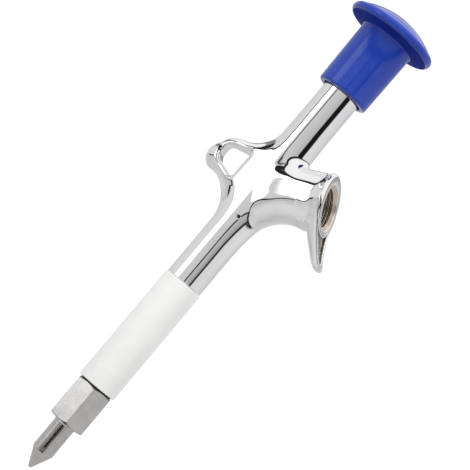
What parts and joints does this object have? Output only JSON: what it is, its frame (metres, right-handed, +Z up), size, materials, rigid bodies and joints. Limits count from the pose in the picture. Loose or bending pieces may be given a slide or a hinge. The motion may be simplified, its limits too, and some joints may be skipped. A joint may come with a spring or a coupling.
{
  "type": "meat injector",
  "caption": "Hand-held meat injector: spring-loaded press button on a chromed valve body with threaded hose inlet, finger hook and hanging eye, plastic tube and fluted needle tip.",
  "frame": {"origin": "on the barrel axis, at the shoulder where the needle tip meets the nozzle hex", "axes": "+Z up the barrel towards the button, +X towards the hose inlet, -Z the way the needle points"},
  "size_m": [0.0693, 0.0392, 0.2282],
  "materials": {
    "chrome": "mirror-polished chrome plate on cast brass",
    "satin_steel": "machined stainless steel, satin",
    "white_plastic": "matte white acetal",
    "blue_plastic": "moulded blue plastic, semi-gloss",
    "black_rubber": "black food-grade rubber",
    "brass": "turned brass",
    "natural_plastic": "natural PTFE",
    "spring_steel": "stainless spring wire",
    "bright_steel": "ground stainless bar"
  },
  "bodies": {
    "body": {"body_casting": "chrome", "fluted_tip": "satin_steel", "nozzle_hex": "satin_steel", "nozzle_washer": "black_rubber", "valve_seat": "brass", "seat_o_ring": "black_rubber", "extension_tube": "white_plastic", "tube_seal": "black_rubber", "stem_guide": "natural_plastic", "inlet_washer": "black_rubber", "gland_packing": "natural_plastic", "gland_washer": "brass", "gland_nut": "brass", "lower_spring_washer": "spring_steel", "return_spring": "spring_steel"},
    "spring_plate": {"upper_spring_washer": "spring_steel"},
    "plunger": {"push_button": "blue_plastic", "button_insert": "brass", "stem_circlip": "spring_steel", "valve_stem": "bright_steel", "valve_head": "brass", "valve_disc": "black_rubber", "valve_nut": "brass"}
  },
  "joints": [
    {"name": "button_press", "type": "slide", "parent": "body", "child": "spring_plate", "axis": [0, 0, -1], "range_m": [0, 0.006], "stiffness_N_per_m": 900, "springref_m": -0.006, "deforming": ["return_spring"]},
    {"name": "button_turn", "type": "hinge", "parent": "spring_plate", "child": "plunger", "pos_m": [0, 0, 0.19], "axis": [0, 0, 1], "continuous": true}
  ]
}
